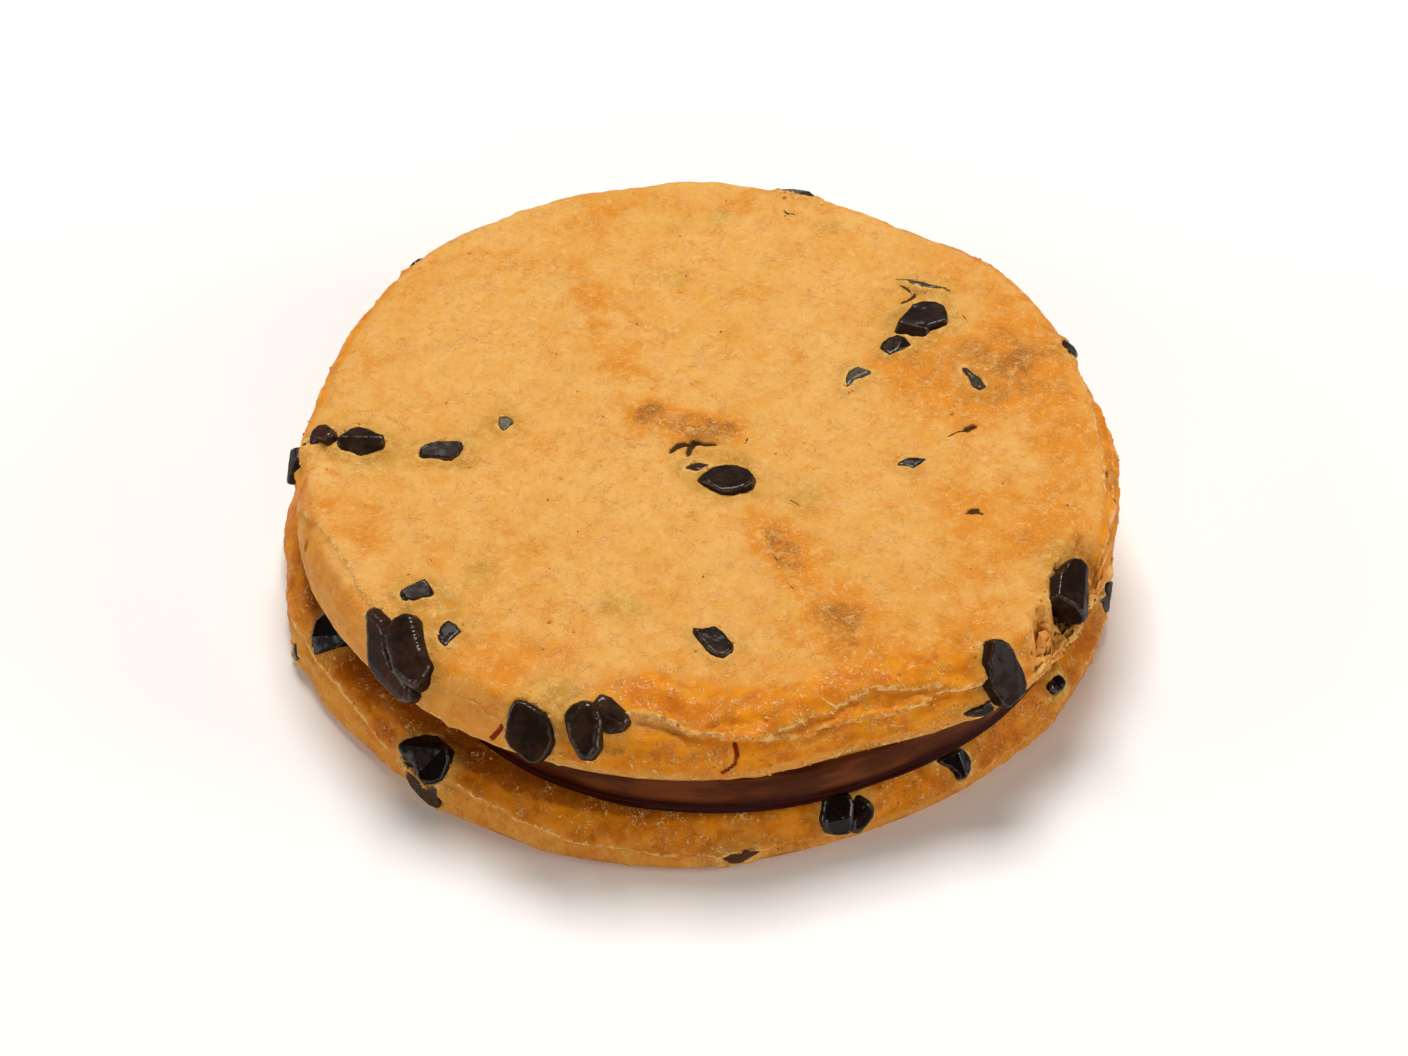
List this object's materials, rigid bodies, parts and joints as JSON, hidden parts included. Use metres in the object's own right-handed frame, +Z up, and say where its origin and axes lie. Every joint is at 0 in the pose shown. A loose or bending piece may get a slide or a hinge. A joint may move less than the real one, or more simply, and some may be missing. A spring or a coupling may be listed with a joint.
{
  "type": "chocolate chip alfajor",
  "caption": "Round sandwich biscuit lying flat: two golden baked biscuits with chocolate chips in them, and a layer of dark chocolate filling that shows at the side.",
  "frame": {"origin": "centre of the bottom biscuit's flat base", "axes": "+Z up through the layers, -Y towards the side with the turned-over lip, +X to the right seen from there"},
  "size_m": [0.0853, 0.0866, 0.0196],
  "materials": {
    "crust": "baked shortcrust, golden with browned patches, dry and finely crumbed",
    "chocolate": "dark chocolate chips, smooth with a soft gloss",
    "filling": "dark chocolate filling, smooth and glossy"
  },
  "bodies": {
    "root": {"bottom_biscuit": "crust", "bottom_chip_1": "chocolate", "bottom_chip_10": "chocolate", "bottom_chip_11": "chocolate", "bottom_chip_12": "chocolate", "bottom_chip_13": "chocolate", "bottom_chip_14": "chocolate", "bottom_chip_15": "chocolate", "bottom_chip_16": "chocolate", "bottom_chip_17": "chocolate", "bottom_chip_18": "chocolate", "bottom_chip_2": "chocolate", "bottom_chip_3": "chocolate", "bottom_chip_4": "chocolate", "bottom_chip_5": "chocolate", "bottom_chip_6": "chocolate", "bottom_chip_7": "chocolate", "bottom_chip_8": "chocolate", "bottom_chip_9": "chocolate", "filling": "filling", "top_biscuit": "crust", "top_chip_1": "chocolate", "top_chip_10": "chocolate", "top_chip_11": "chocolate", "top_chip_12": "chocolate", "top_chip_13": "chocolate", "top_chip_14": "chocolate", "top_chip_15": "chocolate", "top_chip_16": "chocolate", "top_chip_17": "chocolate", "top_chip_18": "chocolate", "top_chip_19": "chocolate", "top_chip_2": "chocolate", "top_chip_20": "chocolate", "top_chip_21": "chocolate", "top_chip_22": "chocolate", "top_chip_23": "chocolate", "top_chip_24": "chocolate", "top_chip_25": "chocolate", "top_chip_26": "chocolate", "top_chip_27": "chocolate", "top_chip_28": "chocolate", "top_chip_29": "chocolate", "top_chip_3": "chocolate", "top_chip_4": "chocolate", "top_chip_5": "chocolate", "top_chip_6": "chocolate", "top_chip_7": "chocolate", "top_chip_8": "chocolate", "top_chip_9": "chocolate"}
  },
  "joints": []
}
